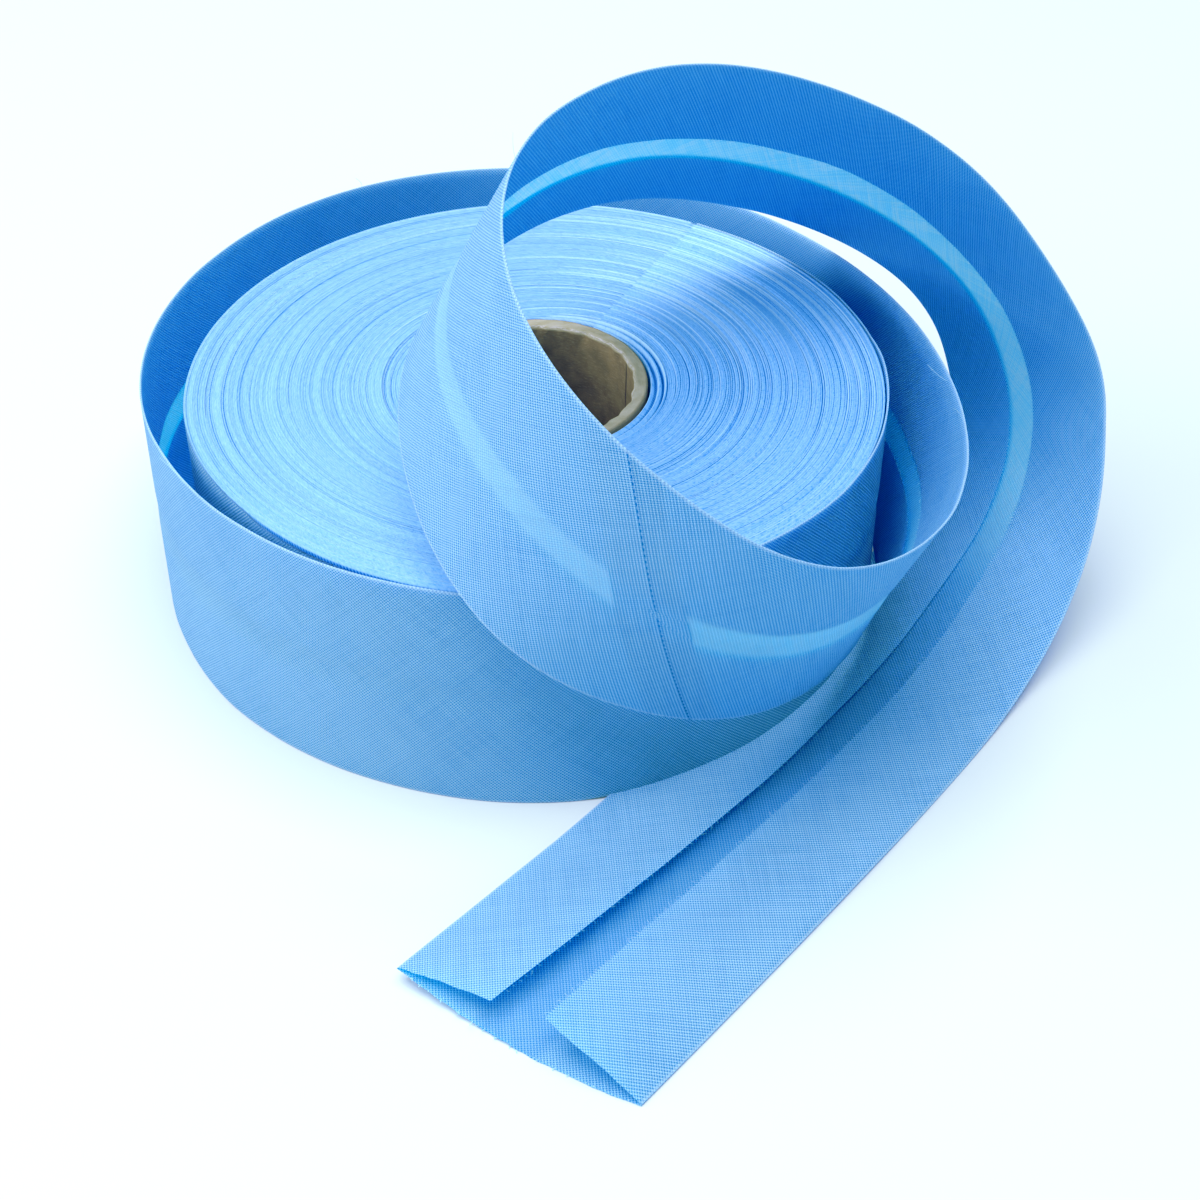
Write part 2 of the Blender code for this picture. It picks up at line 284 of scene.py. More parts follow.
class Socket:
    """One output of a shader node, that sums can be written with."""

    def __init__(self, finish, link):
        self.finish = finish
        self.link = link

    def maths(self, operation, *values):
        return self.finish.node("ShaderNodeMath", {"operation": operation}, dict(enumerate(values)))

    def __add__(self, other):
        return self.maths("ADD", self, other)

    def __radd__(self, other):
        return self.maths("ADD", other, self)

    def __sub__(self, other):
        return self.maths("SUBTRACT", self, other)

    def __rsub__(self, other):
        return self.maths("SUBTRACT", other, self)

    def __mul__(self, other):
        return self.maths("MULTIPLY", self, other)

    def __rmul__(self, other):
        return self.maths("MULTIPLY", other, self)

    def __truediv__(self, other):
        return self.maths("DIVIDE", self, other)

    def __abs__(self):
        return self.maths("ABSOLUTE", self)

    def cosine(self):
        return self.maths("COSINE", self)

    def whole(self):
        return self.maths("FLOOR", self)

    def larger(self, other):
        return self.maths("MAXIMUM", self, other)

    def step(self, low, high, before=0.0, after=1.0):
        """Smoothly from before, at low, to after, at high."""
        return self.finish.node(
            "ShaderNodeMapRange", {"interpolation_type": "SMOOTHSTEP"},
            {"Value": self, "From Min": low, "From Max": high, "To Min": before, "To Max": after})


class Finish:
    """A material as it is made."""

    def __init__(self, name):
        self.made = bpy.data.materials.new(name)
        self.made.use_nodes = True
        self.tree = self.made.node_tree
        self.tree.nodes.clear()

    def node(self, kind, settings, inputs, output=0):
        new = self.tree.nodes.new(kind)
        for setting, value in settings.items():
            setattr(new, setting, value)
        for socket, value in inputs.items():
            if isinstance(value, Socket):
                self.tree.links.new(value.link, new.inputs[socket])
            elif isinstance(value, tuple) and len(value) == 3 and new.inputs[socket].type == "RGBA":
                new.inputs[socket].default_value = (*value, 1.0)
            else:
                new.inputs[socket].default_value = value
        return Socket(self, new.outputs[output])

    def blend(self, share, first, second):
        """A mix of two colours."""
        return self.node("ShaderNodeMix", {"data_type": "RGBA"},
                         {0: share, 6: first, 7: second}, output=2)

    def speckle(self, place, scale, detail=2.0, roughness=0.5):
        """Smooth noise, about 0.5 in the middle."""
        return self.node("ShaderNodeTexNoise", {"noise_dimensions": "3D"},
                         {"Vector": place, "Scale": scale, "Detail": detail,
                          "Roughness": roughness})

    def point(self, x, y, z=0.0):
        return self.node("ShaderNodeCombineXYZ", {}, {"X": x, "Y": y, "Z": z})

    def attribute(self, name):
        """A number stored on the mesh, 0 where it has none."""
        return self.node("ShaderNodeAttribute", {"attribute_name": name}, {}, output=2)

    def bump(self, height):
        """Height is in metres."""
        return self.node("ShaderNodeBump", {},
                         {"Height": height, "Strength": 1.0, "Distance": 1.0})

    def along_and_across(self, layer):
        """The two coordinates of a mesh's named layer, in mm."""
        place = self.node("ShaderNodeUVMap", {"uv_map": layer}, {})
        both = self.tree.nodes.new("ShaderNodeSeparateXYZ")
        self.tree.links.new(place.link, both.inputs[0])
        return Socket(self, both.outputs["X"]), Socket(self, both.outputs["Y"])

    def done(self, surface):
        end = self.tree.nodes.new("ShaderNodeOutputMaterial")
        self.tree.links.new(surface.link, end.inputs["Surface"])
        return self.made


def woven(finish, first, second):
    """A plain weave. Gives the height of the cloth, 0 in the holes and 1 on the threads, the
    checker of over and under, and the unevenness of the threads."""
    over = (first * math.pi).cosine()
    under = (second * math.pi).cosine()
    checker = over * under
    ridge_one = abs(over)
    ridge_two = abs(under)
    height = (ridge_one * (0.62 + 0.38 * checker)).larger(ridge_two * (0.62 - 0.38 * checker))
    slubs_one = finish.speckle(finish.point(first * 0.9, second * 0.03), 1.0)
    slubs_two = finish.speckle(finish.point(first * 0.03, second * 0.9, 7.0), 1.0)
    uneven = slubs_one + slubs_two - 1.0
    return height, checker, uneven


def cloth_shader(finish, colour, normal, roughness, share, sheer=None):
    """Cloth that lets a share of the light through, in a paler blue where it is sheer."""
    body = finish.node("ShaderNodeBsdfPrincipled", {}, {
        "Base Color": colour, "Roughness": roughness, "Normal": normal,
        "Specular IOR Level": 0.2, "Sheen Weight": 0.08, "Sheen Roughness": 0.4,
        "Sheen Tint": SHEEN_BLUE})
    glow = finish.node("ShaderNodeBsdfTranslucent", {}, {"Color": BLUE_THROUGH, "Normal": normal})
    if sheer is not None:
        pale = finish.node("ShaderNodeBsdfTranslucent", {},
                           {"Color": SHEER_BLUE, "Normal": normal})
        glow = finish.node("ShaderNodeMixShader", {}, {0: sheer, 1: glow, 2: pale})
    return finish.node("ShaderNodeMixShader", {}, {0: share, 1: body, 2: glow})


def blue_cotton(seam_at):
    """The strip's own cloth. seam_at is where run plus across is on the joining seam, in mm."""
    finish = Finish("blue_cotton")
    run, across = finish.along_and_across("cloth")
    first = (run + across) / (THREAD_ONE * math.sqrt(2))
    second = (run - across) / (THREAD_TWO * math.sqrt(2))
    height, checker, uneven = woven(finish, first, second)
    beside = (run + across - seam_at) / math.sqrt(2)
    joined = beside.step(-SEAM_BEFORE / MM - 0.2, -SEAM_BEFORE / MM + 0.2) * beside.step(
        SEAM_AFTER / MM - 0.2, SEAM_AFTER / MM + 0.2, 1.0, 0.0)
    inside = finish.attribute("opening").step(RAW_EDGE_AT - 0.6, RAW_EDGE_AT + 0.9)
    single = inside * (1.0 - joined) * finish.attribute("sheer")
    # Painted shade in the holes between the threads, less where light comes through the single
    # layer.
    hole = 1.0 - height.step(0.20, 0.80)
    thread = finish.blend(checker.step(-0.8, 0.8), BLUE, BLUE_LIGHT)
    cloth = finish.blend(hole * (0.95 - 0.55 * single), thread, BLUE_HOLE_SHADE_AND_SLUBS)
    # Painted glow of light coming through the single layer in the opening.
    cloth = finish.blend(single * 0.15, cloth, BLUE_SINGLE_GLOW)
    cloudy = finish.speckle(finish.point(run, across), 0.05, 3.0).step(0.35, 0.68)
    cloth = finish.blend((cloudy * 0.08 + uneven * 0.35).larger(0.0), cloth, BLUE_HOLE_SHADE_AND_SLUBS)
    # Painted shade on the tail's base between the folded edges.
    cloth = finish.blend(finish.attribute("painted_recess_shade") * 0.30, cloth, BLUE_HOLE_SHADE_AND_SLUBS)
    # Painted highlight where the fold's thickness catches the light.
    fold = abs(abs(across) - TAPE_WIDTH / MM / 2).step(0.20, 0.60, 1.0, 0.0)
    cloth = finish.blend(fold * 0.40, cloth, BLUE_FOLD_HIGHLIGHT)
    stitch = ((run - across) * (math.tau / STITCH / math.sqrt(2))).cosine().step(-0.1, 0.3)
    line = abs(beside).step(0.06, 0.17, 1.0, 0.0)
    cloth = finish.blend(line * (0.22 + 0.68 * stitch), cloth, BLUE_DEEP)
    tall = height * (0.8 + uneven * 1.2) * (0.100 * MM)
    tall = tall - abs(beside).step(0.1, 0.9, 1.0, 0.0) * (0.12 * MM)
    share = CLOTH_THROUGH + single * (SINGLE_THROUGH - CLOTH_THROUGH)
    sheer = single * (0.35 + 0.65 * uneven.step(-0.2, 0.2))
    surface = cloth_shader(finish, cloth, finish.bump(tall), 0.80, share, sheer)
    return finish.done(surface)


def blue_turns():
    """The edges of the wound turns, with painted shade in the gaps between them and painted
    highlights on the ridges.
    """
    finish = Finish("blue_turns")
    run, across = finish.along_and_across("cloth")
    hollow = finish.attribute("hollow")
    coarse = finish.attribute("coarse")
    gap = (across * math.tau).cosine()
    ridge = ((across - 0.32) * math.tau).cosine()
    turn = (across + 0.5).whole()
    threads = (run * (math.tau / 0.62) + turn * 2.4).cosine().step(-0.7, 0.4)
    which = finish.speckle(finish.point(run * 0.010, turn * 5.17), 1.0, 1.0)
    grain = finish.speckle(finish.point(run * 1.3, across * 1.7), 1.0, 2.0, 0.6)
    fine = finish.speckle(finish.point(run * 1.7, across * 1.1, 5.0), 1.0, 1.0, 0.5)
    tone = finish.blend(grain.step(0.36, 0.66), TURN_BLUE, TURN_LIGHT)
    dots = fine.step(0.54, 0.64)
    tone = finish.blend(dots * (0.14 + 0.24 * coarse), tone, TURN_DOTS)
    # Painted shade: faint dark lines along the gaps between the turns.
    faint = gap.step(0.45, 0.9) * 0.30 + gap.step(-0.1, 0.6) * which.step(0.52, 0.60) * 0.60
    tone = finish.blend(faint * (0.35 + 0.80 * coarse) * (0.6 + 0.4 * threads), tone, BLUE_DEEP)
    # Painted highlight on the ridges beside open gaps.
    lit = ridge.step(0.4, 1.0) * (0.10 + 0.90 * hollow)
    tone = finish.blend(lit * 0.50, tone, TURN_RIDGE_HIGHLIGHT)
    # Painted shade deep in the gaps that stand open.
    dark = gap.step(0.15, 0.70) * hollow
    tone = finish.blend(dark * (0.55 + 0.45 * threads), tone, BLUE_DEEP)
    normal = finish.bump(threads * (0.02 * MM) + grain * (0.05 * MM) - dots * (0.04 * MM)
                         - gap.step(-0.6, 1.0) * (0.05 * MM))
    surface = cloth_shader(finish, tone, normal, 0.85, TURNS_THROUGH)
    return finish.done(surface)


def thread_cotton():
    """The loose threads."""
    finish = Finish("thread_cotton")
    place = finish.node("ShaderNodeTexCoord", {}, {}, output=3)
    tone = finish.blend(finish.speckle(place, 900.0).step(0.35, 0.65), BLUE, BLUE_LIGHT)
    body = finish.node("ShaderNodeBsdfPrincipled", {}, {"Base Color": tone, "Roughness": 0.85})
    return finish.done(body)


def grey_card():
    """The inner wall is darker; the rim is paler, and palest at its torn inner ply."""
    finish = Finish("grey_card")
    round_it, up = finish.along_and_across("card")
    coarse = finish.speckle(finish.point(round_it * 0.25, up * 0.25), 1.0, 4.0, 0.6)
    fibres = finish.speckle(finish.point(round_it * 0.9, up * 5.0), 1.0, 3.0, 0.7)
    wall = finish.blend(coarse.step(0.3, 0.7), CARD_WALL, CARD_WALL_LIGHT)
    rim = finish.blend(coarse.step(0.3, 0.7), CARD_RIM, CARD_RIM_LIGHT)
    rim = finish.blend(up.step(1.9, 2.5), rim, CARD_OUTSIDE)
    torn = abs(up - 0.15).step(0.1, 0.4, 1.0, 0.0)
    rim = finish.blend(torn * fibres.step(0.40, 0.65), rim, CARD_TORN)
    tone = finish.blend(up.step(-0.5, -0.1), wall, rim)
    tone = finish.blend(fibres.step(0.50, 0.75) * 0.35, tone, CARD_FIBRE)
    ply = abs(round_it - CARD_PLY_AT + up * 0.04).step(0.06, 0.30, 1.0, 0.0)
    ply = ply * up.step(-14.0, -6.0) * up.step(-0.6, -0.2, 1.0, 0.0)
    tone = finish.blend(ply * 0.6, tone, CARD_PLY)
    normal = finish.bump(fibres * (0.12 * MM) + coarse * (0.2 * MM) - ply * (0.15 * MM))
    body = finish.node("ShaderNodeBsdfPrincipled", {}, {
        "Base Color": tone, "Roughness": 0.92, "Normal": normal, "Specular IOR Level": 0.2})
    return finish.done(body)


def pale_floor():
    finish = Finish("pale_floor")
    place = finish.node("ShaderNodeTexCoord", {}, {}, output=3)
    tone = finish.blend(finish.speckle(place, 3.0), FLOOR_PALE, FLOOR_PALER)
    body = finish.node("ShaderNodeBsdfPrincipled", {}, {
        "Base Color": tone, "Roughness": 0.65, "Specular IOR Level": 0.15})
    return finish.done(body)


# ---------------------------------------------------------------- shapes

def smooth_through(knots, values, at):
    """A natural cubic spline through the rows of values, which sit at the knots."""
    count = len(knots)
    spans = np.diff(knots)
    system = np.zeros((count, count))
    right_side = np.zeros((count, values.shape[1]))
    system[0, 0] = 1.0
    system[-1, -1] = 1.0
    for i in range(1, count - 1):
        system[i, i - 1:i + 2] = spans[i - 1], 2 * (spans[i - 1] + spans[i]), spans[i]
        after = (values[i + 1] - values[i]) / spans[i]
        before = (values[i] - values[i - 1]) / spans[i - 1]
        right_side[i] = 6 * (after - before)
    bends = np.linalg.solve(system, right_side)
    j = np.clip(np.searchsorted(knots, at, side="right") - 1, 0, count - 2)
    span = spans[j][:, None]
    a = (knots[j + 1] - at)[:, None] / span
    b = 1.0 - a
    curve = ((a ** 3 - a) * bends[j] + (b ** 3 - b) * bends[j + 1]) * span ** 2 / 6
    return a * values[j] + b * values[j + 1] + curve


def wander(seed, places, spacing, low=-1.0, high=1.0):
    """A smooth random line read at the places."""
    places = np.asarray(places, dtype=float) / spacing
    picks = np.random.default_rng(seed).uniform(low, high, int(places.max()) + 3)
    whole = np.floor(places).astype(int)
    share = places - whole
    share = share * share * (3 - 2 * share)
    return picks[whole] * (1 - share) + picks[whole + 1] * share


def ease(value, low, high):
    share = np.clip((value - low) / (high - low), 0.0, 1.0)
    return share * share * (3 - 2 * share)


def oval(bearing):
    """Distance from the axis to the roll's outer face."""
    a = ROLL_WIDE / 2
    b = ROLL_DEEP / 2
    return a * b / np.hypot(b * np.cos(bearing), a * np.sin(bearing))


def front_lean(bearing):
    """1 at the front, where the outer turns lean most, fading to 0 on both sides."""
    off = (np.degrees(bearing) - LEAN_AT + 180.0) % 360.0 - 180.0
    return 1.0 - ease(np.abs(off), 0.35 * LEAN_WIDE, LEAN_WIDE)


def route_point(place):
    return np.array(next(row[1:3] for row in ROUTE if row[0] == place)) * MM


def over_the_tail(x, y):
    """1 where the roll stands on the laid tail, fading to 0 beside it."""
    start = route_point("lies flat")
    way = route_point("tail further on") - start
    way /= np.hypot(*way)
    beside = np.abs((x - start[0]) * way[1] - (y - start[1]) * way[0])
    return 1.0 - ease(beside, TAPE_WIDTH * 0.5, TAPE_WIDTH * 0.62)


def tape_route():
    """All rows of the strip's middle: round the roll's face, then the loose end."""
    rows = []
    leaves = math.degrees(math.atan2(ROUTE[0][2], ROUTE[0][1]))
    bearing = WRAP_STARTS
    while bearing > leaves + WRAP_STEP * 0.6:
        angle = math.radians(bearing)
        reach = float(oval(angle)) + WRAP_PROUD
        x, y = reach * math.cos(angle), reach * math.sin(angle)
        up = 20.0 * MM + 0.9 * MM * float(over_the_tail(x, y))
        rows.append((x, y, up, ROUTE[0][4] * float(front_lean(angle)), WRAP_SETTLE))
        bearing -= WRAP_STEP
    for _, right, back, up, tip, settle in ROUTE:
        rows.append((right * MM, back * MM, up * MM, tip, settle))
    return np.array(rows)


def tape_frames(step):
    """Evenly spaced frames along the strip: run, middle, along, across (A to B), inward."""
    rows = tape_route()
    chords = np.linalg.norm(np.diff(rows[:, :3], axis=0), axis=1)
    knots = np.concatenate([[0.0], np.cumsum(chords)])
    dense = smooth_through(knots, rows, np.linspace(0.0, knots[-1], 4000))
    lengths = np.linalg.norm(np.diff(dense[:, :3], axis=0), axis=1)
    run = np.concatenate([[0.0], np.cumsum(lengths)])
    at = np.linspace(0.0, run[-1], round(run[-1] / step) + 1)
    even = np.stack([np.interp(at, run, dense[:, k]) for k in range(5)], axis=-1)
    middle = even[:, :3]
    along = np.gradient(middle, axis=0)
    along /= np.linalg.norm(along, axis=1)[:, None]
    side = np.cross(along, (0.0, 0.0, 1.0))
    side /= np.linalg.norm(side, axis=1)[:, None]
    upright = np.cross(side, along)
    tip = np.radians(even[:, 3])[:, None]
    across = side * np.sin(tip) - upright * np.cos(tip)
    inward = np.cross(across, along)
    middle = middle + inward * even[:, 4:5] * MM
    return at, middle, along, across, inward


def along_table(table, to_cut, column):
    """A column of FLAPS, FOLDS or SHEER at a distance from the cut end."""
    rows = sorted(table, key=lambda row: row[1])
    return np.interp(to_cut, [row[1] * MM for row in rows], [row[column] for row in rows])


def flap_line(width, lift, edge_lift, count):
    """A folded edge from its fold to its raw edge: the unfolded distance past the fold, the place
    towards the fold, and the place inward."""
    half = TAPE_WIDTH / 2
    r = PLY / 2
    line = []
    for k in range(1, 6):
        turn = math.radians(-90 + 30 * k)
        line.append(((k - 3) * r * 0.52, half - r + r * math.cos(turn), r * math.sin(turn)))
    for k in range(1, count + 1):
        share = k / count
        d = (width - r) * share
        bow = math.sin(math.pi * share) * math.sin(lift) * 0.16 * width
        v = r + d * math.sin(lift) + bow + edge_lift * share ** 3
        line.append((r + d, half - r - d * math.cos(lift), v))
    return np.array(line)


def binding_section(to_cut, edge_a, edge_b, crease):
    """The folded strip's section from raw edge A to raw edge B: unfolded place, towards B, inward,
    and how far inside the opening between the two raw edges."""
    half = TAPE_WIDTH / 2
    lift_a = math.radians(along_table(FLAPS, to_cut, 2))
    lift_b = math.radians(along_table(FLAPS, to_cut, 3))
    rise = along_table(FLAPS, to_cut, 4) * MM
    wide_a = along_table(FOLDS, to_cut, 2) * MM
    wide_b = along_table(FOLDS, to_cut, 3) * MM
    side_a = flap_line(wide_a, lift_a, edge_a, 12)
    side_b = flap_line(wide_b, lift_b, edge_b, 11)
    side_b[:, 2] += rise * (side_b[:, 1] / half).clip(0.0, None) ** RISE_POWER
    base = np.linspace(-half + PLY / 2, half - PLY / 2, 30)
    middle = (wide_a - wide_b) / 2
    dip = crease * np.exp(-((base - middle) / (2.2 * MM)) ** 2)
    lift = rise * (base / half).clip(0.0, None) ** RISE_POWER
    inside = np.minimum(base + half - wide_a, half - wide_b - base)
    section = [(-half - d, -u, v, ON_A_FLAP) for d, u, v in side_a[::-1]]
    section += list(zip(base, base, -PLY / 2 + dip + lift, inside))
    section += [(half + d, u, v, ON_A_FLAP) for d, u, v in side_b]
    return np.array(section)


def add_piece(name, mesh, finishes):
    """A smooth object of the mesh, with its finishes."""
    for finish in finishes:
        mesh.materials.append(finish)
    mesh.shade_smooth()
    made = bpy.data.objects.new(name, mesh)
    bpy.context.scene.collection.objects.link(made)
    return made


def store_numbers(mesh, name, values):
    """A named number at each point, for the materials."""
    layer = mesh.attributes.new(name, "FLOAT", "POINT")
    layer.data.foreach_set("value", values.ravel().astype(np.float32))


def grid_mesh(name, points, uv, layer, finish):
    """A surface through rows of points, with a named layer of coordinates."""
    rows, columns = points.shape[:2]
    index = np.arange(rows * columns).reshape(rows, columns)
    quads = np.stack([index[:-1, :-1], index[:-1, 1:], index[1:, 1:], index[1:, :-1]], axis=-1)
    quads = quads.reshape(-1, 4)
    mesh = bpy.data.meshes.new(name)
    mesh.from_pydata((points.reshape(-1, 3) + AXIS).tolist(), [], quads.tolist())
    corner = np.empty(len(mesh.loops), dtype=np.int32)
    mesh.loops.foreach_get("vertex_index", corner)
    flat = uv.reshape(-1, 2)[corner]
    mesh.uv_layers.new(name=layer).data.foreach_set("uv", flat.astype(np.float32).ravel())
    return add_piece(name, mesh, [finish])


def place_on_tape(frames, i, u, v, ahead=0.0):
    """Points at u towards edge B and v inward of station i, and so far ahead along the strip."""
    _, middle, along, across, inward = frames
    ahead = np.broadcast_to(ahead, u.shape)
    return (middle[i][None, :] + np.outer(u, across[i]) + np.outer(v, inward[i])
            + np.outer(ahead, along[i]))


def cut_line(u, past, to_cut, nick):
    """How far ahead of a straight section the cloth reaches near the cut end. past is how far
    into a folded edge it is, beyond the fold."""
    near = max(0.0, 1.0 - to_cut / SLANT_RUN) ** 2
    across = u / (TAPE_WIDTH / 2)
    bulge = CUT_BULGE * (1.0 - across ** 2) + 1.6 * MM * across.clip(0.0, None) ** 2
    at_end = 1.0 if to_cut < TAPE_STEP * 0.5 else 0.0
    short = FLAP_SHORT * past / (17.0 * MM)
    return near * (CUT_SLANT * across / 2 + bulge - short) + nick * at_end


def loose_binding(frames, finish):
    """The whole visible strip, from under the last turn to the cut end."""
    at = frames[0]
    edge_a = wander(11, at, 9 * MM, 0.02, 0.30) * MM
    edge_b = wander(12, at, 11 * MM, 0.02, 0.30) * MM
    ripple = wander(13, at, 8 * MM, -0.06, 0.06) * MM
    crease = wander(14, at, 30 * MM, 0.0, 0.35) * MM
    tail_ends = next(row[1] for row in SHEER if row[0] == "falls") * MM
    points, marks, openings, shaded, sheers = [], [], [], [], []
    for i, run in enumerate(at):
        to_cut = at[-1] - run
        unfolded, u, v, inside = binding_section(to_cut, edge_a[i], edge_b[i], crease[i]).T
        sheer = along_table(SHEER, to_cut, 2)
        openings.append((RAW_EDGE_AT + inside / MM).clip(0.0, None))
        sheers.append(np.full(len(inside), sheer))
        on_the_tail = (1.0 - sheer) * (to_cut < tail_ends)
        # Painted shade for the base between the folded edges on the tail.
        shaded.append(on_the_tail * ease(inside, -2.5 * MM, -1.0 * MM))
        nick = wander(15, unfolded + 60 * MM, 0.5 * MM, -0.14, 0.14) * MM
        past = (np.abs(unfolded) - TAPE_WIDTH / 2).clip(0.0, None)
        ahead = cut_line(u, past, to_cut, nick)
        ring = place_on_tape(frames, i, u, v + ripple[i], ahead)
        low = ring[:, 2].min()
        if low < 0.05 * MM:
            ring[:, 2] += 0.05 * MM - low
        points.append(ring)
        marks.append(np.stack([run + ahead, unfolded], axis=-1) / MM)
    piece = grid_mesh("loose_binding", np.array(points), np.array(marks), "cloth", finish)
    for name, values in (("opening", openings), ("painted_recess_shade", shaded), ("sheer", sheers)):
        store_numbers(piece.data, name, np.array(values))
    return piece


def cloth_width(at):
    """The mean width of the strip as it was cut, before folding."""
    to_cut = at[-1] - at
    folded_in = along_table(FOLDS, to_cut, 2) + along_table(FOLDS, to_cut, 3)
    return TAPE_WIDTH + float(np.mean(folded_in)) * MM


def on_strip(frames, run, u, v, ahead=0.0):
    """One point of the strip, between stations."""
    at = frames[0]
    k = min(max(run / (at[1] - at[0]), 0.0), len(at) - 1.001)
    i = int(k)
    u, v = np.array([u]), np.array([v])
    first = place_on_tape(frames, i, u, v, ahead)[0]
    second = place_on_tape(frames, i + 1, u, v, ahead)[0]
    return first * (1 - (k - i)) + second * (k - i)


def seam_allowances(frames, seam_at, finish):
    """The two pressed-open allowances of the bias seam, between the base and the folded edges."""
    half = TAPE_WIDTH / 2 - 0.5 * MM
    points, marks = [], []
    for beside in np.linspace(-SEAM_BEFORE, SEAM_AFTER, 12):
        line, mark = [], []
        for u in np.linspace(-half, half, 41):
            run = seam_at - u + beside * math.sqrt(2)
            line.append(on_strip(frames, run, u, 0.0))
            mark.append((run / MM + 300.0, u / MM))
        points.append(line)
        marks.append(mark)
    return grid_mesh("seam_allowances", np.array(points), np.array(marks), "cloth", finish)


def hair_tube(path, radius, verts, faces):
    """A thin three-sided thread through the points of path."""
    start = len(verts)
    path = np.array(path)
    way = np.gradient(path, axis=0)
    way /= np.linalg.norm(way, axis=1)[:, None] + 1e-12
    side = np.cross(way, (0.31, 0.47, 0.83))
    side /= np.linalg.norm(side, axis=1)[:, None] + 1e-12
    other = np.cross(way, side)
    for n, point in enumerate(path):
        for k in range(3):
            turn = math.tau * k / 3
            verts.append(point + radius * (side[n] * math.cos(turn) + other[n] * math.sin(turn)))
    for n in range(len(path) - 1):
        for k in range(3):
            a, b = start + n * 3 + k, start + n * 3 + (k + 1) % 3
            faces.append((a, b, b + 3, a + 3))
    last = start + (len(path) - 1) * 3
    faces.append((start, start + 2, start + 1))
    faces.append((last, last + 1, last + 2))


def loose_threads(frames, finish):
    """Threads that stand out of the raw edges and the cut end."""
    dice = np.random.default_rng(5)
    at, _, along, across, inward = frames
    verts, faces = [], []

    def thread(base, way, bend, length, radius):
        path = []
        for share in np.linspace(0.0, 1.0, 6):
            path.append(base + way * length * share + bend * length * share ** 2)
        path = np.array(path)
        path[:, 2] = path[:, 2].clip(0.1 * MM, None)
        hair_tube(path, radius, verts, faces)

    end = len(at) - 1
    half = TAPE_WIDTH / 2
    rise = FLAPS[-1][4] * MM
    for _ in range(CUT_THREADS):
        u = dice.uniform(-half, half)
        reach = float(cut_line(np.array([u]), 0.0, 0.0, 0.0)[0])
        v = -PLY / 2 + rise * max(0.0, u / half) ** RISE_POWER
        base = place_on_tape(frames, end, np.array([u]), np.array([v]), reach - 0.3 * MM)[0]
        near_middle = math.exp(-((u - 5 * MM) / (4 * MM)) ** 2)
        length = dice.uniform(0.3, 0.7) * MM * (1 + 1.2 * near_middle)
        way = (along[end] + across[end] * dice.uniform(-0.8, 0.8)
               + inward[end] * dice.uniform(0.0, 0.3))
        bend = across[end] * dice.uniform(-0.6, 0.6) + inward[end] * dice.uniform(-0.1, 0.4)
        thread(base, way / np.linalg.norm(way), bend, length, dice.uniform(0.05, 0.09) * MM)

    for run in np.arange(at[-1] * 0.35, at[-1] - 2 * MM, 1.3 * MM):
        to_cut = at[-1] - run
        i = int(np.searchsorted(at, run))
        for column, sign in ((2, -1.0), (3, 1.0)):
            wide = along_table(FOLDS, to_cut, column) * MM
            lift = math.radians(along_table(FLAPS, to_cut, column))
            u = sign * (half - wide * math.cos(lift))
            v = PLY / 2 + wide * math.sin(lift) + 0.15 * MM
            base = place_on_tape(frames, i, np.array([u]), np.array([v]))[0]
            way = (-sign * across[i] + along[i] * dice.uniform(-1.0, 1.0)
                   + inward[i] * dice.uniform(0.0, 0.6))
            bend = along[i] * dice.uniform(-0.6, 0.6)
            length = dice.uniform(0.25, 0.8) * MM
            thread(base, way / np.linalg.norm(way), bend, length, 0.025 * MM)

    for _, to_cut, u, v, out, up, curve, length in STRAY_THREADS:
        i = int(np.searchsorted(at, at[-1] - to_cut * MM))
        base = place_on_tape(frames, i, np.array([u * MM]), np.array([v * MM]))[0]
        way = inward[i] * out - across[i] * up
        bend = along[i] * curve
        thread(base, way / np.linalg.norm(way), bend, length * MM, 0.03 * MM)

    mesh = bpy.data.meshes.new("loose_threads")
    mesh.from_pydata((np.array(verts) + AXIS).tolist(), [], faces)
    return add_piece("loose_threads", mesh, [finish])


def band_at(reach, column):
    """A value of TURN_BANDS, smoothly from band to band."""
    bore = CORE_OUTER_R / MM
    middles, values = [], []
    for row in TURN_BANDS:
        middles.append((bore + row[1]) / 2)
        values.append(row[column])
        bore = row[1]
    return np.interp(reach / MM, middles, values)


def open_gaps(wound, share, right_side, lean):
    """How wide the gap beside each point stands open, from 0 to 1. More gaps do so on the right,
    and near the rim in front."""
    row = np.arange(wound.shape[1])[None, :]
    beside_gap = np.broadcast_to((row + 1) // TURN_ROWS, wound.shape)
    marked = np.random.default_rng(24).uniform(0.0, 1.0, TURNS + 3)[beside_gap]
    fade = wander(25, wound, 0.37, 0.0, 1.0)
    often = 0.15 + 0.24 * right_side + 0.75 * ease(share, 0.78, 0.92) * (0.15 + 0.85 * lean)
    often = np.where(beside_gap <= LOOSE_TURNS, 0.15 + 1.0 * right_side, often)
    opened = ease(often - marked, -0.02, 0.10) * (0.60 + 0.40 * fade)
    return opened * (0.60 + 0.40 * np.maximum(right_side, lean))


